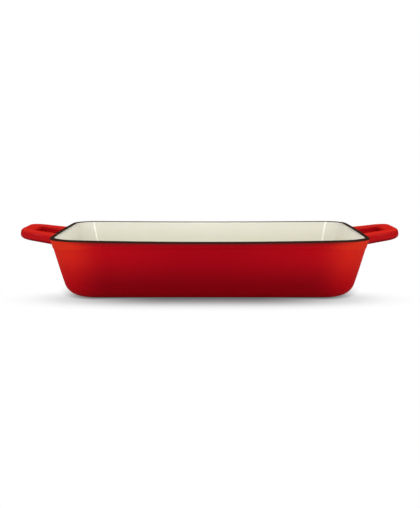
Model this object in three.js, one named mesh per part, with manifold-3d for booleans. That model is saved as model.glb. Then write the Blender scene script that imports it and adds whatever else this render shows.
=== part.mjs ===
import * as THREE from 'three';
import { mergeVertices, toCreasedNormals } from 'three/addons/utils/BufferGeometryUtils.js';
import Module from 'manifold-3d';

// Rectangular baking dish with two loop handles, cast in iron in one piece and enamelled.
// Millimetres. X runs from handle to handle, Z is up, and the dish stands on Z = 0.

const { degToRad } = THREE.MathUtils;

// Dish
const RIM_LENGTH = 318.2; // outside of the rim, from one handle's root to the other's
const RIM_WIDTH = 214; // outside of the rim, across the middle of the long sides
const HEIGHT = 59; // at the middle of the long sides
const RIM_RISE = 1.5; // what the rim gains towards the handles
const RIM_CORNER = 27; // corners of the rim, seen from above
const FOOT_CORNER = 18; // corners of the flat underside
const SIDE_BOW = 6.6; // bulge of the rim along each long side
const END_BOW = 1.7; // bulge of the rim along each short side
const WALL = 4.2; // finished wall and floor, enamel included
const WALL_LEAN = degToRad(17.3); // from upright
const FOOT_RADIUS = 19; // outside bend between wall and underside

// Flared lip and rim
const LIP_HEIGHT = 12; // from the rim down to the start of the flare
const LIP_LEAN = degToRad(18.5); // wall's lean where the flare ends
const LIP_EDGE = 2.5; // straight end of the flare
const RIM_ROUND = 1; // both edges of the rim
const RIM_SKIRT = 0.8; // black enamel outside, below the rounded edge
const RIM_WRAP = degToRad(45); // turn of the black enamel over the inner edge

// Enamel
const COAT = 0.4;
const BOND = 0.2; // clearance of a coat to the iron and to the next coat

// Loop handles
const HANDLE_REACH = 39.9; // from the rim to the tip, along the handle
const HANDLE_WIDTH = 79; // across the loop at its corners
const HANDLE_CORNER = 22; // outside radius of the loop's corners
const HANDLE_TAPER = degToRad(12.5); // each arm widens the loop towards the wall
const HANDLE_RISE = degToRad(8.1); // tilt, tip upwards
const HANDLE_STEP = 1.25; // top of the handle below the rim, at the wall
const BAR_WIDTH = 15.5;
const BAR_THICKNESS = 10.7;
const BAR_ROUND = 4.2; // edges of the bar
const ROOT_SWELL = 1.8; // what each side of an arm gains towards the wall

// Facets
const CORNER_STEPS = 8;
const SIDE_STEPS = 6;
const END_STEPS = 2;
const FOOT_STEPS = 5;
const FLARE_STEPS = 3;
const OUTER_EDGE_STEPS = 4;
const INNER_EDGE_STEPS = 2;
const ARM_STEPS = 4;
const BEND_STEPS = 5;
const BAR_EDGE_STEPS = 2;
const CREASE = degToRad(35);

const wasm = await Module();
wasm.setup();

// Section of the wall: x is measured outwards from the rim's outline, y is the height

const lipNormal = new THREE.Vector2(Math.cos(LIP_LEAN), -Math.sin(LIP_LEAN));
const lipUp = new THREE.Vector2(Math.sin(LIP_LEAN), Math.cos(LIP_LEAN));

const outerEdgeCentre = new THREE.Vector2(-RIM_ROUND, HEIGHT - RIM_ROUND);
const lipTop = outerEdgeCentre.clone().addScaledVector(lipNormal, RIM_ROUND);
const flareEnd = lipTop.clone().addScaledVector(lipUp, -LIP_EDGE);

const flareRise = flareEnd.y - (HEIGHT - LIP_HEIGHT);
const flareControl = new THREE.Vector2(
  flareEnd.x - (flareRise / 2) * Math.tan(LIP_LEAN),
  flareEnd.y - flareRise / 2,
);
const flareStart = new THREE.Vector2(
  flareControl.x - (flareRise / 2) * Math.tan(WALL_LEAN),
  HEIGHT - LIP_HEIGHT,
);

const footTop = FOOT_RADIUS * (1 - Math.sin(WALL_LEAN));
const footCentre = new THREE.Vector2(
  flareStart.x - (flareStart.y - footTop) * Math.tan(WALL_LEAN) - FOOT_RADIUS * Math.cos(WALL_LEAN),
  FOOT_RADIUS,
);

// The inner edge of the rim is rounded about a point on the wall's inner side, level with the outer one.
const innerEdgeCentre = flareEnd.clone().addScaledVector(lipNormal, RIM_ROUND - WALL);
innerEdgeCentre.addScaledVector(lipUp, (outerEdgeCentre.y - innerEdgeCentre.y) / lipUp.y);

const arc = (centre, radius, from, to, steps) =>
  new THREE.EllipseCurve(centre.x, centre.y, radius, radius, from, to).getPoints(steps);

// Outside of the wall from the foot to the end of the flare, each point with its outward normal.
function wallSpine() {
  const foot = arc(footCentre, FOOT_RADIUS, -Math.PI / 2, -WALL_LEAN, FOOT_STEPS).map((point) => ({
    point,
    normal: point.clone().sub(footCentre).normalize(),
  }));
  const flare = new THREE.QuadraticBezierCurve(flareStart, flareControl, flareEnd);
  const lip = flare.getPoints(FLARE_STEPS).map((point, i) => {
    const along = flare.getTangent(i / FLARE_STEPS);
    return { point, normal: new THREE.Vector2(along.y, -along.x) };
  });
  return [...foot, ...lip];
}

const spine = wallSpine();
const spineAt = (depth) => spine.map(({ point, normal }) => point.clone().addScaledVector(normal, -depth));

// Faces at a depth below the finished surface: they run up the outside, over the rim and down the inside.
const outerFace = (depth) => [...spineAt(depth), skirtEnd(depth, 0)];
const outerEdge = (depth) =>
  arc(outerEdgeCentre, RIM_ROUND - depth, -LIP_LEAN, Math.PI / 2, OUTER_EDGE_STEPS);
const innerEdge = (depth, from, to) =>
  arc(innerEdgeCentre, RIM_ROUND - depth, from, to, INNER_EDGE_STEPS);
const innerFace = (depth) => spineAt(WALL - depth).reverse();

// Lower border of the rim's black enamel, outside.
function skirtEnd(depth, drop) {
  const edge = outerEdgeCentre.clone().addScaledVector(lipNormal, RIM_ROUND - depth);
  return edge.addScaledVector(lipUp, -drop);
}

// Rounded rectangle seen from above, from the middle of one end round to the same place.
function roundedRectangle(halfLength, halfWidth, radius) {
  const centre = new THREE.Vector2(halfLength - radius, halfWidth - radius);
  const line = (from, to, steps) => new THREE.LineCurve(from, to).getPoints(steps).slice(1, -1);
  const corner = arc(centre, radius, 0, Math.PI / 2, CORNER_STEPS);
  const mirrored = corner.map((p) => new THREE.Vector2(-p.x, p.y)).reverse();
  const side = line(corner.at(-1), mirrored[0], SIDE_STEPS);
  const end = line(mirrored.at(-1), corner[0].clone().negate(), END_STEPS);
  const half = [...corner, ...side, ...mirrored, ...end];
  return [...half, ...half.map((p) => p.clone().negate())];
}

// Outlines of the rim and of the flat underside. Layers between them lie in proportion.
const footInset = -footCentre.x;
const rimOutline = roundedRectangle(RIM_LENGTH / 2, RIM_WIDTH / 2, RIM_CORNER);
const footOutline = roundedRectangle(RIM_LENGTH / 2 - footInset, RIM_WIDTH / 2 - footInset, FOOT_CORNER);

// The sides bulge and the rim rises towards the handles. Both fade out towards the foot.
function bowed({ x, y }, height) {
  const share = height / HEIGHT;
  const along = share * (x / (RIM_LENGTH / 2)) ** 2;
  const across = share * (y / (RIM_WIDTH / 2)) ** 2;
  return new THREE.Vector3(
    x * (1 - (across * END_BOW) / (RIM_LENGTH / 2)),
    y * (1 - (along * SIDE_BOW) / (RIM_WIDTH / 2)),
    height + along * RIM_RISE,
  );
}

const ring = ({ x: out, y: height }) =>
  rimOutline.map((p, i) => bowed(p.clone().lerp(footOutline[i], -out / footInset), height));

// Skin over rings of points that run anticlockwise about the direction in which they follow each other.
// A closed skin joins its last ring to the first, and an open one is capped at both ends.
// Faces are split along the shorter diagonal, so that layers over each other bend alike.
function skin(rings, closed) {
  const size = rings[0].length;
  const points = rings.flat();
  const positions = points.flatMap((p) => [p.x, p.y, p.z]);
  const index = [];
  const bands = closed ? rings.length : rings.length - 1;
  for (let i = 0; i < bands; i += 1) {
    const low = i * size;
    const high = ((i + 1) % rings.length) * size;
    for (let j = 0; j < size; j += 1) {
      const next = (j + 1) % size;
      const [a, b, c, d] = [low + j, low + next, high + next, high + j];
      const rising = points[a].distanceTo(points[c]) < points[b].distanceTo(points[d]);
      index.push(...(rising ? [a, b, c, a, c, d] : [a, b, d, b, c, d]));
    }
  }
  if (!closed) {
    [0, rings.length - 1].forEach((ring) => {
      const centre = new THREE.Vector3();
      rings[ring].forEach((p) => centre.addScaledVector(p, 1 / size));
      const hub = positions.length / 3;
      positions.push(centre.x, centre.y, centre.z);
      for (let j = 0; j < size; j += 1) {
        const edge = [ring * size + j, ring * size + ((j + 1) % size)];
        index.push(hub, ...(ring === 0 ? edge.reverse() : edge));
      }
    });
  }
  const geometry = new THREE.BufferGeometry();
  geometry.setAttribute('position', new THREE.Float32BufferAttribute(positions, 3));
  geometry.setIndex(index);
  return geometry;
}

// Carries a section round the dish's outline.
const loft = (section, closed = false) => skin(section.map(ring), closed);

function solid(geometry) {
  const merged = mergeVertices(geometry);
  return new wasm.Manifold(
    new wasm.Mesh({
      numProp: 3,
      vertProperties: merged.attributes.position.array,
      triVerts: new Uint32Array(merged.index.array),
    }),
  );
}

// Loop handle: a rounded bar swept along one arm, the tip and the other arm

// The arms run on through the wall, and the casting trims them there.
const rootDepth = 2 * WALL + BAR_THICKNESS * Math.tan(LIP_LEAN);

// Stations along the bar: a point of its centreline, the direction there and the swelling of its sides.
function handleStations() {
  const bendRadius = HANDLE_CORNER - BAR_WIDTH / 2;
  const bend = new THREE.EllipseCurve(
    HANDLE_REACH - HANDLE_CORNER,
    HANDLE_CORNER - HANDLE_WIDTH / 2,
    bendRadius,
    bendRadius,
    HANDLE_TAPER - Math.PI / 2,
    0,
  );
  const armEnd = bend.getPoint(0);
  const along = new THREE.Vector2(Math.cos(HANDLE_TAPER), Math.sin(HANDLE_TAPER));
  const armStation = (x, swell) => ({
    point: new THREE.Vector2(x, armEnd.y + (x - armEnd.x) * Math.tan(HANDLE_TAPER)),
    along,
    swell,
  });

  const arm = [armStation(-rootDepth, ROOT_SWELL)];
  for (let i = 0; i < ARM_STEPS; i += 1) {
    const share = i / ARM_STEPS;
    arm.push(armStation(share * armEnd.x, ROOT_SWELL * (1 - share) ** 2));
  }
  const corner = bend.getPoints(BEND_STEPS).map((point, i) => {
    const angle = THREE.MathUtils.lerp(HANDLE_TAPER, Math.PI / 2, i / BEND_STEPS);
    return { point, along: new THREE.Vector2(Math.cos(angle), Math.sin(angle)), swell: 0 };
  });
  const near = [...arm, ...corner];
  const far = near.map(({ point, along: way, swell }) => ({
    point: new THREE.Vector2(point.x, -point.y),
    along: new THREE.Vector2(-way.x, way.y),
    swell,
  }));
  return [...near, ...far.reverse()];
}

// Section of the bar, its faces moved inwards by depth.
function barSection(swell, depth) {
  const round = BAR_ROUND - depth;
  const across = BAR_WIDTH / 2 + swell - BAR_ROUND;
  const up = BAR_THICKNESS / 2 - BAR_ROUND;
  const quarters = [[1, 1], [-1, 1], [-1, -1], [1, -1]];
  return quarters.flatMap(([sideways, upwards], i) => {
    const start = (i * Math.PI) / 2;
    const centre = new THREE.Vector2(sideways * across, upwards * up);
    return arc(centre, round, start, start + Math.PI / 2, BAR_EDGE_STEPS);
  });
}

function handle(depth) {
  const rings = handleStations().map(({ point, along, swell }) =>
    barSection(swell, depth).map(
      (s) => new THREE.Vector3(point.x - s.x * along.y, point.y + s.x * along.x, s.y),
    ),
  );
  const middle = HEIGHT + RIM_RISE - HANDLE_STEP - BAR_THICKNESS / 2 / Math.cos(HANDLE_RISE);
  return skin(rings, false).rotateY(-HANDLE_RISE).translate(RIM_LENGTH / 2, 0, middle);
}

const handles = (depth) => solid(handle(depth)).add(solid(handle(depth).rotateZ(Math.PI)));

// Layers

const dishBlank = (depth) => solid(loft(outerFace(depth)));

// Room of the rim's black enamel with its clearance, filled across the dish and open upwards.
function rimRoom() {
  const edge = arc(outerEdgeCentre, RIM_ROUND + BOND, -LIP_LEAN, 0, OUTER_EDGE_STEPS);
  const above = new THREE.Vector2(BOND, HEIGHT + BAR_THICKNESS);
  return solid(loft([skirtEnd(-BOND, RIM_SKIRT + BOND), ...edge, above]));
}

function ironCasting() {
  const depth = COAT + BOND;
  const rim = [...outerEdge(depth), ...innerEdge(depth, Math.PI / 2, Math.PI - LIP_LEAN)];
  const pan = solid(loft([...spineAt(depth), ...rim, ...innerFace(depth)]));
  const loops = handles(depth).subtract(dishBlank(WALL / 2)).subtract(rimRoom());
  return pan.add(loops);
}

function outerEnamel() {
  const outside = dishBlank(0).add(handles(0));
  const inside = dishBlank(COAT).add(handles(COAT));
  const underside = new THREE.Vector2(footCentre.x + BOND, -BOND);
  const baseRoom = solid(loft([underside, underside.clone().setY(COAT + BOND)]));
  return outside.subtract(inside).subtract(rimRoom()).subtract(baseRoom);
}

function innerEnamel() {
  const start = Math.PI / 2 + RIM_WRAP + BOND / RIM_ROUND;
  const face = (depth) => [...innerEdge(depth, start, Math.PI - LIP_LEAN), ...innerFace(depth)];
  return solid(loft([...face(COAT).reverse(), ...face(0)]));
}

function rimEnamel() {
  const wrapped = Math.PI / 2 + RIM_WRAP;
  const face = (depth) => [
    skirtEnd(depth, RIM_SKIRT),
    ...outerEdge(depth),
    ...innerEdge(depth, Math.PI / 2, wrapped),
  ];
  return solid(loft([...face(0), ...face(COAT).reverse()], true));
}

function baseEnamel() {
  const underside = new THREE.Vector2(footCentre.x, 0);
  return solid(loft([underside, underside.clone().setY(COAT + BOND)]));
}

// Assembly

const castIron = new THREE.MeshStandardMaterial({ color: 0x4d4c4b, roughness: 0.7, metalness: 1 });
const redEnamel = new THREE.MeshStandardMaterial({ color: 0xb3121c, roughness: 0.25, metalness: 0 });
const creamEnamel = new THREE.MeshStandardMaterial({ color: 0xece8d4, roughness: 0.2, metalness: 0 });
const blackEnamel = new THREE.MeshStandardMaterial({ color: 0x2d2824, roughness: 0.55, metalness: 0 });

function part(name, body, material) {
  const { vertProperties, triVerts } = body.getMesh();
  const geometry = new THREE.BufferGeometry();
  geometry.setAttribute('position', new THREE.Float32BufferAttribute(vertProperties, 3));
  geometry.setIndex(new THREE.Uint32BufferAttribute(triVerts, 1));
  const mesh = new THREE.Mesh(toCreasedNormals(geometry, CREASE), material);
  mesh.name = name;
  return mesh;
}

const bakingDish = new THREE.Group();
bakingDish.name = 'baking_dish';
bakingDish.add(
  part('iron_casting', ironCasting(), castIron),
  part('outer_enamel', outerEnamel(), redEnamel),
  part('inner_enamel', innerEnamel(), creamEnamel),
  part('rim_enamel', rimEnamel(), blackEnamel),
  part('base_enamel', baseEnamel(), blackEnamel),
);

export default bakingDish;
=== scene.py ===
"""Enamelled cast-iron baking dish with two loop handles, in a plain white studio."""

import math

import bmesh
import bpy
from bpy.props import FloatProperty, FloatVectorProperty, PointerProperty
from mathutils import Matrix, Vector


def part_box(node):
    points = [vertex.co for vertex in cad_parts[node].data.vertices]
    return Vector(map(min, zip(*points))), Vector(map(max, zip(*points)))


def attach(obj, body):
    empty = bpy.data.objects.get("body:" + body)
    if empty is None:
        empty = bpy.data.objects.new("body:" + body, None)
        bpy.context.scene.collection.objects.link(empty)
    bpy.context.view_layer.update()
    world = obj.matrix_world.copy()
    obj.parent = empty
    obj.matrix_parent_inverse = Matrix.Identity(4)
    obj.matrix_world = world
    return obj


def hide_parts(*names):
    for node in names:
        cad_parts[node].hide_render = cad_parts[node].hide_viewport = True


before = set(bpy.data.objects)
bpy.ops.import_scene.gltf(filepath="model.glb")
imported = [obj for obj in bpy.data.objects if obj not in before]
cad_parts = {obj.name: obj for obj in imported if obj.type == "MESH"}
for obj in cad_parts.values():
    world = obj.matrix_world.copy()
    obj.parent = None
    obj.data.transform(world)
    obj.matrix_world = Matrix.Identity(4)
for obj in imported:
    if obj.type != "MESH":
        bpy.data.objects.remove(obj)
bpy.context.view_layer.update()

bl_info = {
    "name": "Enamelled Baking Dish",
    "version": (1, 0, 0),
    "blender": (4, 5, 0),
    "location": "View3D > Sidebar > Baking Dish",
    "description": "Builds an enamelled cast-iron baking dish and the studio round it",
    "category": "Add Mesh",
}

RIM_LOW, RIM_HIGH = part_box("rim_enamel")
BASE_LOW, BASE_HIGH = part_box("base_enamel")
MM = 0.001

# Facets of the smooth pieces
FOOT_STEPS = 16
WALL_STEPS = 12
FLARE_STEPS = 32
RIM_EDGE_STEPS = 8
CORNER_STEPS = 32
SIDE_STEPS = 24
END_STEPS = 12
BEND_STEPS = 24
BAR_EDGE_STEPS = 8
BAR_SPACING = 0.6 * MM
DISC_STEPS = 96
SHARP_ANGLE = math.radians(40)
MERGE_GAP = 0.005 * MM

# The lip's lower edge: half the height of its slope, and how far down its step has faded out
LIP_EASE = 0.8 * MM
LIP_FADE = 30 * MM

# The photograph's camera, which looks down by about 7 degrees
CAMERA_PLACE = (0.0004, -0.9421, 0.1563)
CAMERA_TILT = math.radians(90 - 7.415)
CAMERA_LENS = 62.45


def linear(colour):
    """Linear red, green and blue of an sRGB hex colour."""
    parts = [int(colour[i : i + 2], 16) / 255 for i in (1, 3, 5)]
    return [p / 12.92 if p <= 0.04045 else ((p + 0.055) / 1.055) ** 2.4 for p in parts]


class DishSizes(bpy.types.PropertyGroup):
    """Sizes of the dish, its rim and its coats"""

    rim_length: FloatProperty(
        name="Rim Length", description="Outside of the rim, without the handles",
        default=RIM_HIGH.x - RIM_LOW.x, unit="LENGTH")
    rim_width: FloatProperty(
        name="Rim Width", description="Outside of the rim, across the middle",
        default=RIM_HIGH.y - RIM_LOW.y, unit="LENGTH")
    height: FloatProperty(
        name="Height", description="From the table to the rim, at the middle of the long sides",
        default=59 * MM, unit="LENGTH")
    rim_rise: FloatProperty(
        name="Rim Rise", description="What the rim gains towards the handles",
        default=1.5 * MM, unit="LENGTH")
    rim_corner: FloatProperty(
        name="Rim Corner", description="Corners of the rim, seen from above",
        default=27 * MM, unit="LENGTH")
    foot_corner: FloatProperty(
        name="Foot Corner", description="Corners of the flat underside",
        default=18 * MM, unit="LENGTH")
    side_bow: FloatProperty(
        name="Side Bow", description="Bulge of the rim along each long side",
        default=6.6 * MM, unit="LENGTH")
    end_bow: FloatProperty(
        name="End Bow", description="Bulge of the rim along each short side",
        default=1.7 * MM, unit="LENGTH")
    wall: FloatProperty(
        name="Wall", description="Thickness of wall and floor with their enamel",
        default=4.2 * MM, unit="LENGTH")
    wall_lean: FloatProperty(
        name="Wall Lean", description="Lean of the wall from upright",
        default=math.radians(17.3), subtype="ANGLE")
    foot_radius: FloatProperty(
        name="Foot Radius", description="Outside bend between wall and underside",
        default=19 * MM, unit="LENGTH")
    lip_height: FloatProperty(
        name="Lip Height", description="From the rim down to the start of the flare",
        default=12 * MM, unit="LENGTH")
    lip_lean: FloatProperty(
        name="Lip Lean", description="Lean of the wall where the flare ends",
        default=math.radians(18.5), subtype="ANGLE")
    lip_edge: FloatProperty(
        name="Lip Edge", description="Straight end of the flare",
        default=2.5 * MM, unit="LENGTH")
    lip_step: FloatProperty(
        name="Lip Step", description="What the lip stands proud of the wall below it",
        default=0.45 * MM, unit="LENGTH")
    lip_band: FloatProperty(
        name="Lip Band", description="From the rim to the lip's lower edge, at the long sides",
        default=6.6 * MM, unit="LENGTH")
    lip_sink: FloatProperty(
        name="Lip Sink", description="What the lip's lower edge drops towards the handles",
        default=3 * MM, unit="LENGTH")
    rim_round: FloatProperty(
        name="Rim Round", description="Radius of both edges of the rim",
        default=1 * MM, unit="LENGTH")
    rim_skirt: FloatProperty(
        name="Rim Skirt", description="Black enamel outside, below the rounded edge",
        default=0.5 * MM, unit="LENGTH")
    rim_wrap: FloatProperty(
        name="Rim Wrap", description="Turn of the black enamel over the inner edge",
        default=math.radians(70), subtype="ANGLE")
    coat: FloatProperty(
        name="Coat", description="Thickness of a coat of enamel",
        default=0.4 * MM, unit="LENGTH")
    base_coat: FloatProperty(
        name="Base Coat", description="Thickness of the black coat on the underside",
        default=BASE_HIGH.z - BASE_LOW.z, unit="LENGTH")


class HandleSizes(bpy.types.PropertyGroup):
    """Sizes of the loop handles"""

    reach: FloatProperty(
        name="Reach", description="From the rim to the tip, along the handle",
        default=39.85 * MM, unit="LENGTH")
    width: FloatProperty(
        name="Width", description="Across the loop at its corners",
        default=79 * MM, unit="LENGTH")
    corner: FloatProperty(
        name="Corner", description="Outside radius of the loop's corners",
        default=22 * MM, unit="LENGTH")
    taper: FloatProperty(
        name="Taper", description="Turn of each arm, which widens the loop at the wall",
        default=math.radians(12.5), subtype="ANGLE")
    rise: FloatProperty(
        name="Rise", description="Tilt of the handle, tip upwards",
        default=math.radians(8.1), subtype="ANGLE")
    step: FloatProperty(
        name="Step", description="Top of the handle below the rim, at the wall",
        default=1.28 * MM, unit="LENGTH")
    bar_width: FloatProperty(
        name="Bar Width", description="Width of the bar, seen from above",
        default=15.5 * MM, unit="LENGTH")
    bar_thickness: FloatProperty(
        name="Bar Thickness", description="Thickness of the bar",
        default=10.62 * MM, unit="LENGTH")
    bar_round: FloatProperty(
        name="Bar Round", description="Radius of the bar's edges",
        default=4.2 * MM, unit="LENGTH")
    root_swell: FloatProperty(
        name="Root Swell", description="What each side of an arm gains towards the wall",
        default=1.8 * MM, unit="LENGTH")
    root_fillet: FloatProperty(
        name="Root Fillet", description="Radius where an arm runs into the wall",
        default=2 * MM, unit="LENGTH")


class EnamelColours(bpy.types.PropertyGroup):
    """Colours of the enamels"""

    crimson: FloatVectorProperty(
        name="Crimson", description="Red of the long sides, below the rim",
        default=linear("#a10312"), subtype="COLOR", min=0, max=1)
    # Scarlet on the foot bend is painted light.
    scarlet: FloatVectorProperty(
        name="Scarlet", description="Red of the long sides towards the ends, and of the foot bend",
        default=linear("#b40a15"), subtype="COLOR", min=0, max=1)
    # Garnet under the handles is painted shade. Above the foot it is partly painted shade.
    garnet: FloatVectorProperty(
        name="Garnet", description="Red of the long sides above the foot, and under the handles",
        default=linear("#80030f"), subtype="COLOR", min=0, max=1)
    # Flame on the handles' tops is painted light. On the ends it is partly painted light.
    flame: FloatVectorProperty(
        name="Flame", description="Red of the ends and of the handles' tops",
        default=linear("#d02619"), subtype="COLOR", min=0, max=1)
    # Vermilion is a painted highlight on the lip at the ends.
    vermilion: FloatVectorProperty(
        name="Vermilion", description="Red of the lip at the ends",
        default=linear("#d22e19"), subtype="COLOR", min=0, max=1)
    # Ember and flame make the ends brighter, partly as painted light.
    ember: FloatVectorProperty(
        name="Ember", description="Red of the ends above the foot",
        default=linear("#b60a13"), subtype="COLOR", min=0, max=1)
    cherry: FloatVectorProperty(
        name="Cherry", description="Red of the handles' sides",
        default=linear("#b01418"), subtype="COLOR", min=0, max=1)
    # Wine within the handles' loops is painted shade.
    wine: FloatVectorProperty(
        name="Wine", description="Red of the handles' sides within the loop",
        default=linear("#a2060f"), subtype="COLOR", min=0, max=1)
    cream: FloatVectorProperty(
        name="Cream", description="Lining",
        default=linear("#e6e3d6"), subtype="COLOR", min=0, max=1)
    ground: FloatVectorProperty(
        name="Ground Coat", description="Matt black of the rim and the underside",
        default=linear("#2a1b17"), subtype="COLOR", min=0, max=1)
    iron: FloatVectorProperty(
        name="Iron", description="Cast iron under the enamel",
        default=linear("#4d4c4b"), subtype="COLOR", min=0, max=1)


class StudioSettings(bpy.types.PropertyGroup):
    """Light and floor of the studio"""

    floor: FloatVectorProperty(
        name="Floor", description="Colour of the floor",
        default=linear("#f4f4f4"), subtype="COLOR", min=0, max=1)
    floor_shade: FloatVectorProperty(
        name="Floor Shade", description="Colour that the floor shows in the dish's shadow",
        default=linear("#abb3b3"), subtype="COLOR", min=0, max=1)
    floor_glow: FloatProperty(
        name="Floor Glow", description="White that the floor shows where no light falls",
        default=0.14, subtype="FACTOR", min=0, max=1)
    top_power: FloatProperty(
        name="Top Light", description="Power of the softbox overhead",
        default=24, unit="POWER")
    strip_power: FloatProperty(
        name="Strip Lights", description="Power of each strip softbox",
        default=16.5, unit="POWER")
    front_power: FloatProperty(
        name="Front Light", description="Power of the softbox above the camera",
        default=40, unit="POWER")
    ambient: FloatProperty(
        name="Ambient", description="Light of the white room",
        default=0.5, subtype="FACTOR", min=0, max=1)


# Kinds of node that are used often
MATH = "ShaderNodeMath"
VECTOR_MATH = "ShaderNodeVectorMath"
MAP_RANGE = "ShaderNodeMapRange"
SEPARATE = "ShaderNodeSeparateXYZ"
NOISE = "ShaderNodeTexNoise"


def add(tree, kind, inputs=(), **settings):
    """Adds a node, with its inputs in order or by name.

    Each input is a value, or the node, socket or list of them that feeds it.
    """
    node = tree.nodes.new(kind)
    for name, value in settings.items():
        setattr(node, name, value)
    for key, value in inputs.items() if isinstance(inputs, dict) else enumerate(inputs):
        sources = value if isinstance(value, list) else [value]
        for source in sources:
            if isinstance(source, bpy.types.Node):
                source = source.outputs[0]
            if isinstance(source, bpy.types.NodeSocket):
                tree.links.new(source, node.inputs[key])
            else:
                node.inputs[key].default_value = source
    return node


# Section of the wall


def arc(centre, radius, start, end, steps):
    """Points of an arc in a section."""
    angles = [start + (end - start) * i / steps for i in range(steps + 1)]
    return [centre + radius * Vector((math.cos(a), math.sin(a))) for a in angles]


class WallSection:
    """The wall cut across: x runs outwards from the rim's outline, y is the height."""

    def __init__(self, size):
        up_wall = Vector((math.tan(size.wall_lean), 1))
        up_lip = Vector((math.tan(size.lip_lean), 1))
        self.size = size
        self.lip_normal = Vector((math.cos(size.lip_lean), -math.sin(size.lip_lean)))
        self.lip_up = up_lip.normalized()
        self.outer_edge = Vector((-size.rim_round, size.height - size.rim_round))

        flare_end = self.skirt(0, size.lip_edge)
        rise = flare_end.y - (size.height - size.lip_height)
        control = flare_end - up_lip * rise / 2
        flare_start = control - up_wall * rise / 2
        self.flare = (flare_start, control, flare_end)

        foot_top = size.foot_radius * (1 - math.sin(size.wall_lean))
        wall_low = flare_start - up_wall * (flare_start.y - foot_top)
        reach = size.foot_radius * math.cos(size.wall_lean)
        self.foot = Vector((wall_low.x - reach, size.foot_radius))

        inner = flare_end + self.lip_normal * (size.rim_round - size.wall)
        lift = (self.outer_edge.y - inner.y) / self.lip_up.y
        self.inner_edge = inner + self.lip_up * lift

    def skirt(self, depth, drop):
        """Point on the lip, below its rounded outer edge."""
        out = self.lip_normal * (self.size.rim_round - depth)
        return self.outer_edge + out - self.lip_up * drop

    def face(self, depth):
        """Line from the foot to the end of the flare, at a depth below the outside."""
        radius = self.size.foot_radius - depth
        lean = self.size.wall_lean
        line = arc(self.foot, radius, -math.pi / 2, -lean, FOOT_STEPS)
        start, control, end = self.flare
        flare = []
        for i in range(FLARE_STEPS + 1):
            t = i / FLARE_STEPS
            low, high = start.lerp(control, t), control.lerp(end, t)
            along = (high - low).normalized()
            flare.append(low.lerp(high, t) - depth * Vector((along.y, -along.x)))
        rows = [line[-1].lerp(flare[0], i / WALL_STEPS) for i in range(1, WALL_STEPS)]
        return line + rows + flare

    def outer_rim(self, depth):
        """Line over the rim's outer edge."""
        radius, lean = self.size.rim_round - depth, self.size.lip_lean
        return arc(self.outer_edge, radius, -lean, math.pi / 2, RIM_EDGE_STEPS)

    def inner_rim(self, depth, start, end):
        """Line over a part of the rim's inner edge."""
        steps = max(1, round(RIM_EDGE_STEPS * (end - start) / (math.pi / 2)))
        return arc(self.inner_edge, self.size.rim_round - depth, start, end, steps)

    def red_coat(self):
        """Closed line round the outer coat, from the foot to the black skirt."""
        skirt = self.size.rim_skirt
        outside = self.face(0) + [self.skirt(0, skirt)]
        inside = self.face(self.size.coat) + [self.skirt(self.size.coat, skirt)]
        return outside + inside[::-1]

    def rim_coat(self):
        """Closed line round the black coat on the rim."""
        top = math.pi / 2

        def line(depth):
            over = self.outer_rim(depth) + self.inner_rim(depth, top, top + self.size.rim_wrap)[1:]
            return [self.skirt(depth, self.size.rim_skirt)] + over

        return line(0) + line(self.size.coat)[::-1]

    def cream_coat(self):
        """Open line round the lining, from the floor's lower side to its upper side."""
        start = math.pi / 2 + self.size.rim_wrap
        end = math.pi - self.size.lip_lean

        def line(depth):
            return self.inner_rim(depth, start, end) + self.face(self.size.wall - depth)[::-1]

        return line(self.size.coat)[::-1] + line(0)

    def base_coat(self):
        """Open line up the border of the black underside."""
        return [Vector((self.foot.x, 0)), Vector((self.foot.x, self.size.base_coat))]

    def core(self):
        """Open line up the middle of the wall and past the rim."""
        half = self.size.wall / 2
        return self.face(half) + [self.skirt(half, -self.size.lip_height)]


# Geometry Nodes


def geometry_tree(name, sockets):
    """New tree with a geometry input, the named inputs of each kind and a geometry output."""
    tree = bpy.data.node_groups.new(name, "GeometryNodeTree")
    tree.is_modifier = True
    tree.interface.new_socket("Geometry", in_out="INPUT", socket_type="NodeSocketGeometry")
    for kind, labels in sockets.items():
        for label in labels:
            tree.interface.new_socket(label, in_out="INPUT", socket_type="NodeSocket" + kind)
    tree.interface.new_socket("Geometry", in_out="OUTPUT", socket_type="NodeSocketGeometry")
    return tree, add(tree, "NodeGroupInput").outputs


def end_tree(tree, given, whole):
    """Ends a tree in plain geometry with its material."""
    whole = add(tree, "GeometryNodeRealizeInstances", {"Geometry": whole})
    whole = add(tree, "GeometryNodeSetMaterial",
                {"Geometry": whole, "Material": given["Material"]})
    add(tree, "NodeGroupOutput", {"Geometry": whole})
    return tree


def bowed_wall(tree, given, plan, cut):
    """Place of a point of the wall, its height, and its square share of the way to the end.

    The sides bulge and the rim rises towards the handles. Both fade out towards the foot.
    """
    share = add(tree, MATH, [cut["Y"], given["Height"]], operation="DIVIDE")
    squares, bows = {}, {}
    for axis, half in (("X", "Half Length"), ("Y", "Half Width")):
        reach = add(tree, MATH, [plan[axis], given[half]], operation="DIVIDE")
        squares[axis] = add(tree, MATH, [reach, reach], operation="MULTIPLY")
        bows[axis] = add(tree, MATH, [squares[axis], share], operation="MULTIPLY")
    pulled = {}
    for axis, across, bow, half in (
            ("X", "Y", "End Bow", "Half Length"), ("Y", "X", "Side Bow", "Half Width")):
        depth = add(tree, MATH, [given[bow], given[half]], operation="DIVIDE")
        depth = add(tree, MATH, [depth, bows[across]], operation="MULTIPLY")
        left = add(tree, MATH, [1.0, depth], operation="SUBTRACT")
        pulled[axis] = add(tree, MATH, [plan[axis], left], operation="MULTIPLY")
    height = add(tree, MATH, [bows["X"], given["Rim Rise"], cut["Y"]], operation="MULTIPLY_ADD")
    place = add(tree, "ShaderNodeCombineXYZ", {**pulled, "Z": height})
    return place, height, squares["X"]


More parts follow.
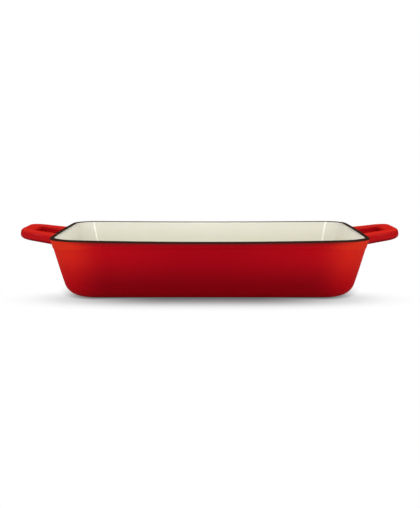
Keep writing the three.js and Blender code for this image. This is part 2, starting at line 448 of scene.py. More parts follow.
def lip_offset(tree, given, outward, height, to_end):
    """Sets the wall back by a step below the lip's edge. The step fades out further down."""
    edge = add(tree, MATH, [to_end, given["Lip Sink"], height], operation="MULTIPLY_ADD")
    below = add(tree, MATH, [given["Lip Level"], edge], operation="SUBTRACT")
    under = add(tree, MAP_RANGE, {
        "Value": below, "From Min": -LIP_EASE, "From Max": LIP_EASE,
        "To Min": 0.0, "To Max": -1.0}, interpolation_type="SMOOTHSTEP")
    fade = add(tree, MAP_RANGE, {
        "Value": below, "From Min": LIP_EASE, "From Max": LIP_FADE,
        "To Min": 1.0, "To Max": 0.0}, interpolation_type="SMOOTHSTEP")
    depth = add(tree, MATH, [under, fade], operation="MULTIPLY")
    depth = add(tree, MATH, [depth, given["Lip Step"]], operation="MULTIPLY")
    way = add(tree, VECTOR_MATH, [outward], operation="NORMALIZE")
    return add(tree, VECTOR_MATH, {0: way, "Scale": depth}, operation="SCALE")


def rim_tree():
    """Carries a section round the dish, between the outlines of its rim and of its underside."""
    tree, given = geometry_tree("section_round_dish", {
        "Object": ("Rim", "Foot"),
        "Float": ("Foot Inset", "Half Length", "Half Width", "Height", "Rim Rise", "Side Bow",
                  "End Bow", "Lip Level", "Lip Sink", "Lip Step"),
        "Material": ("Material",),
    })
    here = add(tree, "GeometryNodeInputPosition")
    foot = add(tree, "GeometryNodeObjectInfo", {"Object": given["Foot"]})
    foot_point = add(tree, "GeometryNodeSampleIndex", {
        "Geometry": foot.outputs["Geometry"], "Value": here,
        "Index": add(tree, "GeometryNodeInputIndex")}, data_type="FLOAT_VECTOR")
    rim = add(tree, "GeometryNodeObjectInfo", {"Object": given["Rim"]})
    outline = add(tree, "GeometryNodeCaptureAttribute", {"Geometry": rim.outputs["Geometry"]})
    for label, source in (("On Rim", here), ("On Foot", foot_point)):
        outline.capture_items.new("VECTOR", label)
        tree.links.new(source.outputs[0], outline.inputs[label])
    section = add(tree, "GeometryNodeCaptureAttribute", {"Geometry": given["Geometry"]})
    section.capture_items.new("VECTOR", "In Section")
    tree.links.new(here.outputs[0], section.inputs["In Section"])
    swept = add(tree, "GeometryNodeCurveToMesh", {"Curve": outline, "Profile Curve": section})

    # A point of the section lies between rim and foot in proportion to its place in the wall.
    cut = add(tree, SEPARATE, [section.outputs["In Section"]]).outputs
    inset = add(tree, MATH, [cut["X"], given["Foot Inset"]], operation="DIVIDE")
    on_rim, on_foot = outline.outputs["On Rim"], outline.outputs["On Foot"]
    outward = add(tree, VECTOR_MATH, [on_rim, on_foot], operation="SUBTRACT")
    inward = add(tree, VECTOR_MATH, {0: outward, "Scale": inset}, operation="SCALE")
    plan = add(tree, VECTOR_MATH, [on_rim, inward], operation="ADD")
    plan = add(tree, SEPARATE, [plan]).outputs

    place, height, to_end = bowed_wall(tree, given, plan, cut)
    whole = add(tree, "GeometryNodeSetPosition", {
        "Geometry": swept, "Position": place,
        "Offset": lip_offset(tree, given, outward, height, to_end)})
    return end_tree(tree, given, whole)


def loop_line(tree, given):
    """Line along the middle of a handle's bar. Its points keep their sideways direction."""
    across = (1, -1, 1)
    far_root = add(tree, VECTOR_MATH, [given["Arm Root"], across], operation="MULTIPLY")
    far_corner = add(tree, VECTOR_MATH, [given["Loop Corner"], across], operation="MULTIPLY")
    line = add(tree, "GeometryNodeCurvePrimitiveQuadrilateral", {
        "Point 1": given["Arm Root"], "Point 2": given["Loop Corner"],
        "Point 3": far_corner, "Point 4": far_root}, mode="POINTS")
    line = add(tree, "GeometryNodeSetSplineCyclic", {"Geometry": line, "Cyclic": False})
    line = add(tree, "GeometryNodeFilletCurve", {
        "Curve": line, "Count": BEND_STEPS, "Radius": given["Bend Radius"]}, mode="POLY")
    line = add(tree, "GeometryNodeResampleCurve",
               {"Curve": line, "Length": BAR_SPACING}, mode="LENGTH")
    line = add(tree, "GeometryNodeSetCurveNormal", {"Curve": line}, mode="Z_UP")
    line = add(tree, "GeometryNodeCaptureAttribute", {"Geometry": line})
    line.capture_items.new("VECTOR", "Sideways")
    tree.links.new(add(tree, "GeometryNodeInputNormal").outputs[0], line.inputs["Sideways"])
    return line


def bar_section(tree, given):
    """Section of a handle's bar. Its points keep on which half of the bar they lie."""
    bar = add(tree, "GeometryNodeCurvePrimitiveQuadrilateral",
              {"Width": given["Bar Width"], "Height": given["Bar Thickness"]})
    bar = add(tree, "GeometryNodeFilletCurve", {
        "Curve": bar, "Count": BAR_EDGE_STEPS, "Radius": given["Bar Round"]}, mode="POLY")
    at = add(tree, SEPARATE, [add(tree, "GeometryNodeInputPosition")])
    half = add(tree, MATH, [at.outputs["X"]], operation="SIGN")
    bar = add(tree, "GeometryNodeCaptureAttribute", {"Geometry": bar})
    bar.capture_items.new("FLOAT", "Half")
    tree.links.new(half.outputs[0], bar.inputs["Half"])
    return bar


def arm_swell(tree, given, line, bar):
    """Lets the sides of an arm swell towards the wall."""
    at = add(tree, SEPARATE, [add(tree, "GeometryNodeInputPosition")])
    near_wall = add(tree, MAP_RANGE, {
        "Value": at.outputs["X"], "From Min": 0.0, "From Max": given["Arm Length"],
        "To Min": 1.0, "To Max": 0.0})
    square = add(tree, MATH, [near_wall, 2.0], operation="POWER")
    swell = add(tree, MATH, [square, given["Root Swell"]], operation="MULTIPLY")
    swell = add(tree, MATH, [swell, bar.outputs["Half"]], operation="MULTIPLY")
    return add(tree, VECTOR_MATH, {0: line.outputs["Sideways"], "Scale": swell}, operation="SCALE")


def root_rounding(tree, given):
    """Widens the bar in a quarter round close to the wall, but not above its top."""
    fillet = given["Root Fillet"]
    here = add(tree, "GeometryNodeInputPosition")
    wall = add(tree, "GeometryNodeProximity", {"Geometry": given["Geometry"]})
    away = add(tree, VECTOR_MATH, [here, wall.outputs["Position"]], operation="SUBTRACT")
    away = add(tree, SEPARATE, [away])
    outside = add(tree, MATH, [away.outputs["X"], 0.0], operation="GREATER_THAN")
    gap = add(tree, MATH, [wall.outputs["Distance"], outside], operation="MULTIPLY")
    left = add(tree, MATH, [fillet, gap], operation="SUBTRACT")
    left = add(tree, MATH, [left, 0.0], operation="MAXIMUM")
    left_square = add(tree, MATH, [left, left], operation="MULTIPLY")
    fillet_square = add(tree, MATH, [fillet, fillet], operation="MULTIPLY")
    rest = add(tree, MATH, [fillet_square, left_square], operation="SUBTRACT")
    rest = add(tree, MATH, [rest], operation="SQRT")
    widening = add(tree, MATH, [fillet, rest], operation="SUBTRACT")
    facing = add(tree, SEPARATE, [add(tree, "GeometryNodeInputNormal")]).outputs
    downwards = add(tree, MATH, [facing["Z"], 0.0], operation="MINIMUM")
    way = add(tree, "ShaderNodeCombineXYZ", {"X": facing["X"], "Y": facing["Y"], "Z": downwards})
    return add(tree, VECTOR_MATH, {0: way, "Scale": widening}, operation="SCALE")


def handle_tree():
    """Grows a loop handle out of each end of the wall: a rounded bar swept along the loop."""
    tree, given = geometry_tree("loop_handles", {
        "Vector": ("Arm Root", "Loop Corner", "Place"),
        "Rotation": ("Tilt",),
        "Float": ("Bend Radius", "Bar Width", "Bar Thickness", "Bar Round", "Arm Length",
                  "Root Swell", "Root Fillet"),
        "Object": ("Core",),
        "Material": ("Material",),
    })
    line, bar = loop_line(tree, given), bar_section(tree, given)
    handle = add(tree, "GeometryNodeCurveToMesh",
                 {"Curve": line, "Profile Curve": bar, "Fill Caps": True})
    handle = add(tree, "GeometryNodeSetPosition",
                 {"Geometry": handle, "Offset": arm_swell(tree, given, line, bar)})
    handle = add(tree, "GeometryNodeTransform", {
        "Geometry": handle, "Translation": given["Place"], "Rotation": given["Tilt"]})
    handle = add(tree, "GeometryNodeSetPosition",
                 {"Geometry": handle, "Offset": root_rounding(tree, given)})

    # The arms end in the middle of the wall.
    core = add(tree, "GeometryNodeObjectInfo", {"Object": given["Core"]})
    handle = add(tree, "GeometryNodeMeshBoolean",
                 {"Mesh 1": handle, "Mesh 2": core.outputs["Geometry"]},
                 operation="DIFFERENCE", solver="MANIFOLD")

    # The second handle is the first one, half a turn round the middle of the dish.
    ends = add(tree, "GeometryNodeMeshLine", {"Count": 2, "Offset": (0, 0, 0)})
    turn = add(tree, MATH, [add(tree, "GeometryNodeInputIndex"), math.pi], operation="MULTIPLY")
    turn = add(tree, "ShaderNodeCombineXYZ", {"Z": turn})
    handles = add(tree, "GeometryNodeInstanceOnPoints",
                  {"Points": ends, "Instance": handle, "Rotation": turn})
    whole = add(tree, "GeometryNodeJoinGeometry", {"Geometry": [given["Geometry"], handles]})
    return end_tree(tree, given, whole)


def shaped(host, tree, sizes):
    """Plain mesh that a tree makes from an object. The object is used up."""
    modifier = host.modifiers.new(tree.name, "NODES")
    modifier.node_group = tree
    for item in tree.interface.items_tree:
        if item.in_out == "INPUT" and item.name in sizes:
            modifier[item.identifier] = sizes[item.name]
    graph = bpy.context.evaluated_depsgraph_get()
    mesh = bpy.data.meshes.new_from_object(host.evaluated_get(graph), depsgraph=graph)
    bpy.data.objects.remove(host)
    return mesh


def closed(mesh):
    """Caps the mesh's open rings, turns its faces outwards and marks its sharp edges."""
    shell = bmesh.new()
    shell.from_mesh(mesh)
    bmesh.ops.remove_doubles(shell, verts=shell.verts, dist=MERGE_GAP)
    bmesh.ops.holes_fill(shell, edges=[e for e in shell.edges if e.is_boundary])
    if not shell.faces or not all(edge.is_manifold for edge in shell.edges):
        raise RuntimeError(f"{mesh.name} is not a closed shell")
    bmesh.ops.recalc_face_normals(shell, faces=shell.faces)
    for edge in shell.edges:
        edge.smooth = edge.calc_face_angle(0) < SHARP_ANGLE
    for face in shell.faces:
        face.smooth = True
    shell.to_mesh(mesh)
    shell.free()
    return mesh


def placed(name, data):
    """New object at the origin."""
    piece = bpy.data.objects.new(name, data)
    bpy.context.scene.collection.objects.link(piece)
    return piece


def drawn(name, points, is_loop):
    """New object that draws a line through points of a plane."""
    drawing = bpy.data.curves.new(name, "CURVE")
    drawing.dimensions = "3D"
    line = drawing.splines.new("POLY")
    line.points.add(len(points) - 1)
    for point, at in zip(line.points, points):
        point.co = (at.x, at.y, 0, 1)
    line.use_cyclic_u = is_loop
    return placed(name, drawing)


def rounded_rectangle(half_length, half_width, radius):
    """Points of a rounded rectangle, one way round."""
    middle = Vector((half_length - radius, half_width - radius))
    corner = arc(middle, radius, 0, math.pi / 2, CORNER_STEPS)
    mirrored = [Vector((-p.x, p.y)) for p in reversed(corner)]
    side = [corner[-1].lerp(mirrored[0], i / SIDE_STEPS) for i in range(1, SIDE_STEPS)]
    end = [mirrored[-1].lerp(-corner[0], i / END_STEPS) for i in range(1, END_STEPS)]
    half = corner + side + mirrored + end
    return half + [-p for p in half]


def round_dish(name, line, is_loop, material, section, lip_step=0.0):
    """Mesh of a line of the section carried round the dish."""
    size, inset = section.size, -section.foot.x
    half_length, half_width = size.rim_length / 2, size.rim_width / 2
    rim = drawn("rim", rounded_rectangle(half_length, half_width, size.rim_corner), True)
    foot = drawn("foot", rounded_rectangle(
        half_length - inset, half_width - inset, size.foot_corner), True)
    mesh = shaped(drawn(name, line, is_loop), rim_tree(), {
        "Rim": rim,
        "Foot": foot,
        "Foot Inset": inset,
        "Half Length": half_length,
        "Half Width": half_width,
        "Height": size.height,
        "Rim Rise": size.rim_rise,
        "Side Bow": size.side_bow,
        "End Bow": size.end_bow,
        "Lip Level": size.height - size.lip_band,
        "Lip Sink": size.lip_sink,
        "Lip Step": lip_step,
        "Material": material,
    })
    bpy.data.objects.remove(rim)
    bpy.data.objects.remove(foot)
    return closed(mesh)


def handle_inputs(size, loop):
    """Where the loop of a handle runs, and the bar that is swept along it."""
    bend = loop.corner - loop.bar_width / 2
    slope = math.tan(loop.taper)
    arm_x = loop.reach - loop.corner + bend * math.sin(loop.taper)
    arm_y = loop.corner - loop.width / 2 - bend * math.cos(loop.taper)
    tip_x = loop.reach - loop.bar_width / 2
    root_x = -2 * size.wall - loop.bar_thickness * math.tan(size.lip_lean)
    rim_top = size.height + size.rim_rise
    middle = rim_top - loop.step - loop.bar_thickness / 2 / math.cos(loop.rise)
    return {
        "Arm Root": (root_x, arm_y + (root_x - arm_x) * slope, 0.0),
        "Loop Corner": (tip_x, arm_y + (tip_x - arm_x) * slope, 0.0),
        "Bend Radius": bend,
        "Bar Width": loop.bar_width,
        "Bar Thickness": loop.bar_thickness,
        "Bar Round": loop.bar_round,
        "Arm Length": arm_x,
        "Root Swell": loop.root_swell,
        "Root Fillet": loop.root_fillet,
        "Tilt": (0.0, -loop.rise, 0.0),
        "Place": (size.rim_length / 2, 0.0, middle),
    }


def finished(piece, node):
    """The piece moves with the dish, and the CAD node that it replaces is hidden."""
    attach(piece, "root")
    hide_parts(node)


# Materials

# Sockets of a Mix node that mixes colours
MIX_A, MIX_B, MIXED = 6, 7, 2

# Shares of a finish's own red, green and blue: cream further down, specks of the ground coat
# and pits of the iron
LOWER_CREAM = (0.88, 0.89, 0.83)
BROWN_SPECK = (1.7, 1.5, 1.3)
IRON_PIT = (0.6, 0.6, 0.6)

# Millimetres between the marks of a finish. The ground coat's specks are finer in truth, and are
# drawn as coarse as they need to show.
WAVE_MM = 18
PEEL_MM = 2.5
SPRAY_CLOUD_MM = 45
CREAM_CLOUD_MM = 30
RIM_SPECK_MM = 1.5
BASE_SPECK_MM = 4
IRON_GRAIN_MM = 0.8

# The inside of the handles' loops, from the middle of the dish
LOOP_INSIDE = (185 * MM, 32 * MM, 0)

# Masks of the red that rise evenly. The others ease in and out.
STRAIGHT_MASKS = ("along", "below_rim")


def rgba(colour, shares=(1, 1, 1)):
    """Opaque colour for a socket, with shares of its red, green and blue."""
    return (*(part * share for part, share in zip(colour, shares)), 1)


def per_metre(size_mm):
    """Scale of a noise whose marks are about that many millimetres apart."""
    return 1 / (size_mm * MM)


def emptied(owner):
    """Node tree of a material, world or lamp, without any nodes."""
    owner.use_nodes = True
    owner.node_tree.nodes.clear()
    return owner.node_tree


def new_material(name, finish, *choices):
    """Material with the shader inputs that a finish gives for a place on the piece."""
    material = bpy.data.materials.new(name)
    tree = emptied(material)
    place = add(tree, "ShaderNodeTexCoord").outputs["Object"]
    shader = add(tree, "ShaderNodeBsdfPrincipled", finish(tree, place, *choices))
    add(tree, "ShaderNodeOutputMaterial", {"Surface": shader})
    return material


def glaze_surface(tree, place, wave_depth, peel_depth):
    """Surface of a fired coat: slow waves of the casting and the glaze's fine orange peel."""
    wave = add(tree, NOISE, {"Vector": place, "Scale": per_metre(WAVE_MM), "Detail": 1.0})
    peel = add(tree, NOISE, {"Vector": place, "Scale": per_metre(PEEL_MM), "Detail": 1.0})
    bump = add(tree, "ShaderNodeBump", {"Height": wave, "Distance": wave_depth})
    return add(tree, "ShaderNodeBump", {"Height": peel, "Distance": peel_depth, "Normal": bump})


def spray_and_light_masks(tree, place, size):
    """Where the reds lie on the wall and the handles, painted light and shade among them."""
    at = add(tree, SEPARATE, [place]).outputs
    normal = add(tree, "ShaderNodeNewGeometry").outputs["Normal"]
    facing = add(tree, SEPARATE, [normal]).outputs
    out = add(tree, MATH, [at["X"]], operation="ABSOLUTE")

    # The borders of the spray wander a little.
    cloud = add(tree, NOISE, {"Vector": place, "Scale": per_metre(SPRAY_CLOUD_MM), "Detail": 2.0})
    drift = add(tree, MAP_RANGE, {"Value": cloud, "To Min": -4 * MM, "To Max": 4 * MM})
    level = add(tree, MATH, [at["Z"], drift], operation="ADD")
    spread = add(tree, MATH, [out, drift], operation="ADD")

    # The lip's lower edge sinks towards the handles.
    half_length, lip_level = size.rim_length / 2, size.height - size.lip_band
    lip = add(tree, MATH, [at["X"], at["X"]], operation="MULTIPLY")
    lip = add(tree, MATH, [lip, size.lip_sink / half_length**2, at["Z"]], operation="MULTIPLY_ADD")

    # The way out from the inside of a loop
    loop = add(tree, VECTOR_MATH, [place], operation="ABSOLUTE")
    loop = add(tree, VECTOR_MATH, [loop, LOOP_INSIDE], operation="SUBTRACT")
    loop = add(tree, SEPARATE, [loop]).outputs
    loop = add(tree, MATH, [loop["X"], loop["Y"]], operation="MAXIMUM")

    # Each mask: what it measures, where it starts, where it is full, and how full
    masks = {}
    for name, measure, start, end, full in (
            # Brighter and more orange towards the ends: partly the spray's own ombré, partly
            # painted light.
            ("along", spread, 25 * MM, 150 * MM, 1.0),
            ("to_end", spread, 99 * MM, 150 * MM, 1.0),
            ("to_corner", spread, 112 * MM, 150 * MM, 1.0),
            ("off_corner", spread, 150 * MM, 112 * MM, 1.0),
            # Darker towards the foot: partly the spray's own ombré, partly painted shade.
            ("height", level, 10 * MM, 48 * MM, 1.0),
            # Painted light: the foot bend is brightened.
            ("painted_foot_light", at["Z"], 16 * MM, 0.0, 0.36),
            ("lip", lip, lip_level - LIP_EASE, lip_level + LIP_EASE, 1.0),
            ("below_rim", at["Z"], size.height - 4.8 * MM, size.height - 1 * MM, 0.6),
            ("on_handle", out, half_length - 2 * MM, half_length + 6 * MM, 1.0),
            # Painted shade: darker inside the handles' loops.
            ("off_loop_shade", loop, -2 * MM, 3 * MM, 1.0),
            # Painted light: the handles' upward faces turn lighter.
            ("upwards", facing["Z"], 0.2, 0.9, 0.65),
            # Painted shade: the handles' downward faces turn darker.
            ("downwards", facing["Z"], -0.1, -0.8, 1.0),
    ):
        masks[name] = add(tree, MAP_RANGE, {
            "Value": measure, "From Min": start, "From Max": end, "To Max": full},
            interpolation_type="LINEAR" if name in STRAIGHT_MASKS else "SMOOTHSTEP")
    # The lip's mask towards the corners holds a painted highlight on the lip at the ends.
    for name, one, other in (
            ("painted_lip_highlight", "lip", "to_corner"), ("dark_below_rim", "below_rim", "off_corner")):
        masks[name] = add(tree, MATH, [masks[one], masks[other]], operation="MULTIPLY")
    return masks


def red_enamel(tree, place, colours, size):
    """Gloss vitreous enamel, sprayed on the outside and fired.

    The red is brighter and more orange on the ends and darker towards the foot: partly the spray's
    own ombré, partly painted light and shade. Painted light lies on top of the handles, on the
    foot bend and on the lip at the ends. Painted shade lies under the handles and within their
    loops.
    Just below the rim of the long sides the red darkens towards the black of the rim.
    """
    masks = spray_and_light_masks(tree, place, size)
    # Each layer is a colour or layer with another one over it, where a mask lies.
    layers = {name: rgba(getattr(colours, name)) for name in colours.__annotations__}
    for name, under, over, mask in (
            # The brighter ends and the darker lower wall are partly the spray's ombré, partly
            # painted light and shade.
            ("side", "crimson", "scarlet", "along"),
            ("side", "garnet", "side", "height"),
            ("end", "ember", "flame", "height"),
            ("wall", "side", "end", "to_end"),
            # Scarlet on the foot bend is painted light.
            ("wall", "wall", "scarlet", "painted_foot_light"),
            # Vermilion on the lip at the ends is a painted highlight.
            ("wall", "wall", "vermilion", "painted_lip_highlight"),
            # Wine inside the loops is painted shade.
            ("handle", "wine", "cherry", "off_loop_shade"),
            # Flame on the handles' tops is painted light.
            ("handle", "handle", "flame", "upwards"),
            # Garnet on the handles' undersides is painted shade.
            ("handle", "handle", "garnet", "downwards"),
            ("red", "wall", "handle", "on_handle"),
            # The red darkens towards the black just below the rim of the long sides.
            ("red", "red", "ground", "dark_below_rim"),
    ):
        layers[name] = add(tree, "ShaderNodeMix", {
            0: masks[mask], MIX_A: layers[under], MIX_B: layers[over]},
            data_type="RGBA").outputs[MIXED]
    glaze = glaze_surface(tree, place, wave_depth=0.05 * MM, peel_depth=0.006 * MM)
    # The colour lies deep in the glass, so only its clear skin shines, and softly.
    return {"Base Color": layers["red"], "Specular IOR Level": 0.0, "Coat Weight": 0.04,
            "Coat Roughness": 0.1, "Normal": glaze, "Coat Normal": glaze}


def cream_enamel(tree, place, colours):
    """Gloss cream enamel of the lining: nearly white, mirror-like, darker and warmer further down.
    """
    at = add(tree, SEPARATE, [place])
    cloud = add(tree, NOISE, {"Vector": place, "Scale": per_metre(CREAM_CLOUD_MM), "Detail": 3.0})
    drift = add(tree, MAP_RANGE, {"Value": cloud, "To Min": -3 * MM, "To Max": 3 * MM})
    level = add(tree, MATH, [at.outputs["Z"], drift], operation="ADD")
    lower_share = add(tree, MAP_RANGE, {
        "Value": level, "From Min": 56 * MM, "From Max": 38 * MM}, interpolation_type="SMOOTHSTEP")
    cream = add(tree, "ShaderNodeMix", {
        0: lower_share, MIX_A: rgba(colours.cream), MIX_B: rgba(colours.cream, LOWER_CREAM)},
        data_type="RGBA")
    return {"Base Color": cream.outputs[MIXED], "Roughness": 0.12, "IOR": 1.5,
            "Normal": glaze_surface(tree, place, wave_depth=0.04 * MM, peel_depth=0.004 * MM)}


def ground_enamel(tree, place, colours, speck_mm):
    """Matt black ground coat: dull, faintly brown and a little gritty."""
    speck = add(tree, NOISE, {"Vector": place, "Scale": per_metre(speck_mm), "Detail": 4.0})
    black = add(tree, "ShaderNodeMix", {
        0: speck, MIX_A: rgba(colours.ground), MIX_B: rgba(colours.ground, BROWN_SPECK)},
        data_type="RGBA")
    dull = add(tree, MAP_RANGE, {"Value": speck, "To Min": 0.45, "To Max": 0.65})
    bump = add(tree, "ShaderNodeBump", {"Height": speck, "Distance": 0.03 * MM})
    return {"Base Color": black.outputs[MIXED], "Roughness": dull, "Specular IOR Level": 0.0,
            "Coat Weight": 0.03, "Coat Roughness": 0.4, "Normal": bump}


def cast_iron(tree, place, colours):
    """Grey iron as it leaves the sand mould: dark, dull and grainy."""
    grain = add(tree, NOISE, {"Vector": place, "Scale": per_metre(IRON_GRAIN_MM), "Detail": 4.0})
    grey = add(tree, "ShaderNodeMix", {
        0: grain, MIX_A: rgba(colours.iron, IRON_PIT), MIX_B: rgba(colours.iron)},
        data_type="RGBA")
    bump = add(tree, "ShaderNodeBump", {"Height": grain, "Distance": 0.1 * MM})
    return {"Base Color": grey.outputs[MIXED], "Metallic": 1.0, "Roughness": 0.7, "Normal": bump}


# Studio

WHITE = (1, 1, 1, 1)
FLOOR_LEVEL = -0.1 * MM
DISH_MIDDLE = (0, 0, 0.04)

# How near the dish has to be to darken the floor
SHADE_REACH = 42 * MM

# Shadows close round the foot, and wider in front of the dish: the middle, half the size of the
# dark core, how far the shadow reaches past the core, and after which share of that it fades
SHADOWS = (
    ((0, 15 * MM, 0), (110 * MM, 75 * MM, 0), (50 * MM, 50 * MM, 1), 0.3),
    ((0, -85 * MM, 0), (40 * MM, 0, 0), (180 * MM, 69 * MM, 1), 0.0),
)


def shown_rays(tree):
    """1 for rays that show the white background: seen, mirrored or through glass."""
    path = add(tree, "ShaderNodeLightPath").outputs
    seen = add(tree, MATH, [path["Is Camera Ray"], path["Is Glossy Ray"]], operation="MAXIMUM")
    return add(tree, MATH, [seen, path["Is Transmission Ray"]], operation="MAXIMUM")


def off_shadow(tree):
    """0 in the core of a shadow, 1 away from all of them."""
    place = add(tree, "ShaderNodeTexCoord").outputs["Object"]
    fades = []
    for middle, core, reach, start in SHADOWS:
        past = add(tree, VECTOR_MATH, [place, middle], operation="SUBTRACT")
        past = add(tree, VECTOR_MATH, [past], operation="ABSOLUTE")
        past = add(tree, VECTOR_MATH, [past, core], operation="SUBTRACT")
        past = add(tree, VECTOR_MATH, [past, (0, 0, 0)], operation="MAXIMUM")
        past = add(tree, VECTOR_MATH, [past, reach], operation="DIVIDE")
        past = add(tree, VECTOR_MATH, [past], operation="LENGTH")
        fades.append(add(tree, MAP_RANGE, {
            "Value": past.outputs["Value"], "From Min": start}, interpolation_type="SMOOTHSTEP"))
    return add(tree, MATH, fades, operation="MINIMUM")


def floor_paint(studio):
    """Matt white floor. It shows as white away from the dish, and near it the dish's shadow,
    deepened by painted shadow.
    """
    material = bpy.data.materials.new("matt_white_floor_paint")
    tree = emptied(material)
    lit = add(tree, "ShaderNodeBsdfDiffuse", {"Color": rgba(studio.floor)})
    # The shade is a little cool, which takes up the red that the dish throws on the floor.
    # Painted shadow: near the dish the floor's colour darkens, on top of the lamps' shadow.
    near = add(tree, "ShaderNodeAmbientOcclusion",
               {"Color": rgba(studio.floor_shade), "Distance": SHADE_REACH}, samples=16)
    cool = add(tree, "ShaderNodeBsdfDiffuse", {"Color": near})
    glow = add(tree, "ShaderNodeEmission", {"Strength": studio.floor_glow})
    shade = add(tree, "ShaderNodeAddShader", [cool, glow])
    white = add(tree, "ShaderNodeEmission", {"Color": WHITE, "Strength": 1.0})
    seen = add(tree, "ShaderNodeMixShader", [off_shadow(tree), shade, white])
    surface = add(tree, "ShaderNodeMixShader", [shown_rays(tree), lit, seen])
    add(tree, "ShaderNodeOutputMaterial", {"Surface": surface})
    return material


def flag_cloth(_tree, _place):
    """Black cloth of the flags: it gives back hardly any light, all over alike."""
    return {"Base Color": rgba(linear("#0a0a0a")), "Roughness": 1.0, "Specular IOR Level": 0.0}


def white_room(studio):
    """World: plain white where it shows, and dimmer as light."""
    world = bpy.data.worlds.new("white_room")
    tree = emptied(world)
    light = add(tree, "ShaderNodeBackground", {"Color": WHITE, "Strength": studio.ambient})
    white = add(tree, "ShaderNodeBackground", {"Color": WHITE, "Strength": 1.0})
    both = add(tree, "ShaderNodeMixShader", [shown_rays(tree), light, white])
    add(tree, "ShaderNodeOutputWorld", {"Surface": both})
    return world


def softbox(name, place, target, width, height, power):
    """Rectangular area light that faces a point and isn't seen itself."""
    lamp = bpy.data.lights.new(name, "AREA")
    lamp.shape = "RECTANGLE"
    lamp.size, lamp.size_y = width, height
    lamp.energy = power
    tree = emptied(lamp)
    # The cloth is bright up to 0.1 from its middle and fades out to its edges at 0.5.
    across = add(tree, "ShaderNodeNewGeometry").outputs["Parametric"]
    across = add(tree, VECTOR_MATH, [across, (0.5, 0.5, 0)], operation="SUBTRACT")
    across = add(tree, VECTOR_MATH, [across], operation="ABSOLUTE")
    across = add(tree, SEPARATE, [across]).outputs
    fades = [add(tree, MAP_RANGE, {
        "Value": across[axis], "From Min": 0.5, "From Max": 0.1},
        interpolation_type="SMOOTHSTEP") for axis in ("X", "Y")]
    cloth = add(tree, MATH, fades, operation="MULTIPLY")
    glow = add(tree, "ShaderNodeEmission", {"Strength": cloth})
    add(tree, "ShaderNodeOutputLight", {"Surface": glow})
    box = placed(name, lamp)
    box.location = place
    box.rotation_euler = (Vector(target) - Vector(place)).to_track_quat("-Z", "Y").to_euler()
    box.visible_camera = False


def disc(name, radius, low, high):
    """Flat disc, or a ring of wall where it goes from one height to another."""
    shell = bmesh.new()
    bmesh.ops.create_circle(shell, cap_ends=low == high, segments=DISC_STEPS, radius=radius)
    if low != high:
        grown = bmesh.ops.extrude_edge_only(shell, edges=shell.edges)["geom"]
        moved = [v for v in grown if isinstance(v, bmesh.types.BMVert)]
        bmesh.ops.translate(shell, verts=moved, vec=(0, 0, high - low))
    bmesh.ops.translate(shell, verts=shell.verts, vec=(0, 0, low))
    mesh = bpy.data.meshes.new(name)
    shell.to_mesh(mesh)
    shell.free()
    return placed(name, mesh)


# Operators


class RedEnamel(bpy.types.Operator):
    """Makes the red coat of the walls and of both loop handles"""

    bl_idname = "baking_dish.red_enamel"
    bl_label = "Red Enamel"
    bl_options = {"REGISTER", "UNDO"}

    def execute(self, context):
        size, colours = context.scene.dish_sizes, context.scene.enamel_colours
        section = WallSection(size)
        paint = new_material("gloss_red_vitreous_enamel", red_enamel, colours, size)
        wall = placed("wall", round_dish(
            "wall", section.red_coat(), True, paint, section, size.lip_step))
        core = placed("core", round_dish("core", section.core(), False, paint, section))
        mesh = shaped(wall, handle_tree(), {
            **handle_inputs(size, context.scene.handle_sizes), "Core": core, "Material": paint})
        bpy.data.objects.remove(core)
        finished(placed("red_enamel", closed(mesh)), "outer_enamel")
        return {"FINISHED"}


class CreamEnamel(bpy.types.Operator):
    """Makes the cream lining"""

    bl_idname = "baking_dish.cream_enamel"
    bl_label = "Cream Enamel"
    bl_options = {"REGISTER", "UNDO"}

    def execute(self, context):
        size, colours = context.scene.dish_sizes, context.scene.enamel_colours
        section = WallSection(size)
        paint = new_material("gloss_cream_vitreous_enamel", cream_enamel, colours)
        mesh = round_dish("cream_enamel", section.cream_coat(), False, paint, section)
        finished(placed("cream_enamel", mesh), "inner_enamel")
        return {"FINISHED"}


class BlackEnamel(bpy.types.Operator):
    """Makes the bare black ground coat on the rim and on the underside"""

    bl_idname = "baking_dish.black_enamel"
    bl_label = "Black Enamel"
    bl_options = {"REGISTER", "UNDO"}

    def execute(self, context):
        size, colours = context.scene.dish_sizes, context.scene.enamel_colours
        section = WallSection(size)
        paint = new_material("matt_black_rim_enamel", ground_enamel, colours, RIM_SPECK_MM)
        mesh = round_dish("rim_black_enamel", section.rim_coat(), True, paint, section)
        finished(placed("rim_black_enamel", mesh), "rim_enamel")
        paint = new_material("matt_black_base_enamel", ground_enamel, colours, BASE_SPECK_MM)
        mesh = round_dish("base_black_enamel", section.base_coat(), False, paint, section)
        finished(placed("base_black_enamel", mesh), "base_enamel")
        return {"FINISHED"}


class IronCasting(bpy.types.Operator):
    """Gives the casting under the enamel its iron finish"""

    bl_idname = "baking_dish.iron_casting"
    bl_label = "Iron Casting"
    bl_options = {"REGISTER", "UNDO"}

    def execute(self, context):
        iron = new_material("sand_cast_grey_iron", cast_iron, context.scene.enamel_colours)
        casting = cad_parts["iron_casting"]
        casting.data.materials.clear()
        casting.data.materials.append(iron)
        return {"FINISHED"}


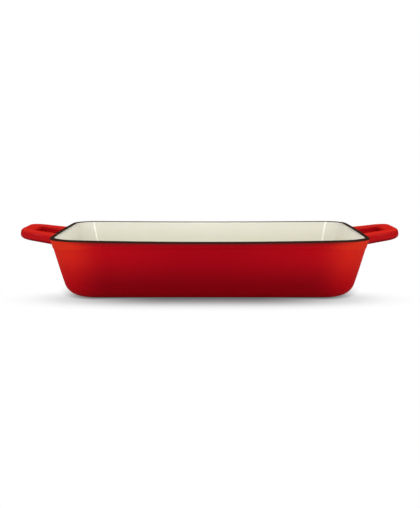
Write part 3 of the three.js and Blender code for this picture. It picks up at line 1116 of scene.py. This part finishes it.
class Studio(bpy.types.Operator):
    """Makes the floor, the flags, the lights, the white room and the camera"""

    bl_idname = "baking_dish.studio"
    bl_label = "Studio"
    bl_options = {"REGISTER", "UNDO"}

    def execute(self, context):
        scene = context.scene
        studio = scene.studio_settings
        scene.view_settings.view_transform = "Standard"
        scene.world = white_room(studio)

        floor = disc("floor", radius=12, low=FLOOR_LEVEL, high=FLOOR_LEVEL)
        floor.data.materials.append(floor_paint(studio))
        flags = disc("flags", radius=3.2, low=0.0, high=0.9)
        flags.data.materials.append(new_material("black_flag_cloth", flag_cloth))
        flags.visible_camera = flags.visible_diffuse = flags.visible_shadow = False

        softbox("top_softbox", place=(0, 0.2, 1.5), target=(0, 0, 0),
                width=1.6, height=1.1, power=studio.top_power)
        softbox("front_softbox", place=(0, -1.85, 1.75), target=DISH_MIDDLE,
                width=1.4, height=0.9, power=studio.front_power)
        for name, side in (("left_strip", -1), ("right_strip", 1)):
            softbox(name, place=(side * 1.3, -1.52, 1.15), target=DISH_MIDDLE,
                    width=0.3, height=1.7, power=studio.strip_power)

        lens = bpy.data.cameras.new("camera")
        lens.lens = CAMERA_LENS
        lens.clip_start, lens.clip_end = 0.01, 100
        camera = placed("camera", lens)
        camera.location = CAMERA_PLACE
        camera.rotation_euler = (CAMERA_TILT, 0, 0)
        scene.camera = camera
        return {"FINISHED"}


class DishPanel(bpy.types.Panel):
    """Lists the pieces of the dish, their sizes and the studio"""

    bl_idname = "VIEW3D_PT_baking_dish"
    bl_label = "Baking Dish"
    bl_space_type = "VIEW_3D"
    bl_region_type = "UI"
    bl_category = "Baking Dish"

    def draw(self, context):
        for operator in OPERATORS:
            self.layout.operator(operator.bl_idname)
        for owner in GROUPS:
            box = self.layout.box()
            group = getattr(context.scene, owner)
            for name in group.__annotations__:
                box.prop(group, name)


OPERATORS = (RedEnamel, CreamEnamel, BlackEnamel, IronCasting, Studio)
GROUPS = {
    "dish_sizes": DishSizes,
    "handle_sizes": HandleSizes,
    "enamel_colours": EnamelColours,
    "studio_settings": StudioSettings,
}


def register():
    """Registers the classes and gives the scene its settings."""
    for kind in (*GROUPS.values(), *OPERATORS, DishPanel):
        bpy.utils.register_class(kind)
    for name, group in GROUPS.items():
        setattr(bpy.types.Scene, name, PointerProperty(type=group))


def unregister():
    """Takes the settings and the classes away again."""
    for name in GROUPS:
        delattr(bpy.types.Scene, name)
    for kind in (DishPanel, *OPERATORS, *GROUPS.values()):
        bpy.utils.unregister_class(kind)


def main():
    """Builds the studio and the dish."""
    register()
    bpy.ops.baking_dish.studio()
    bpy.ops.baking_dish.red_enamel()
    bpy.ops.baking_dish.cream_enamel()
    bpy.ops.baking_dish.black_enamel()
    bpy.ops.baking_dish.iron_casting()


if __name__ == "__main__":
    main()
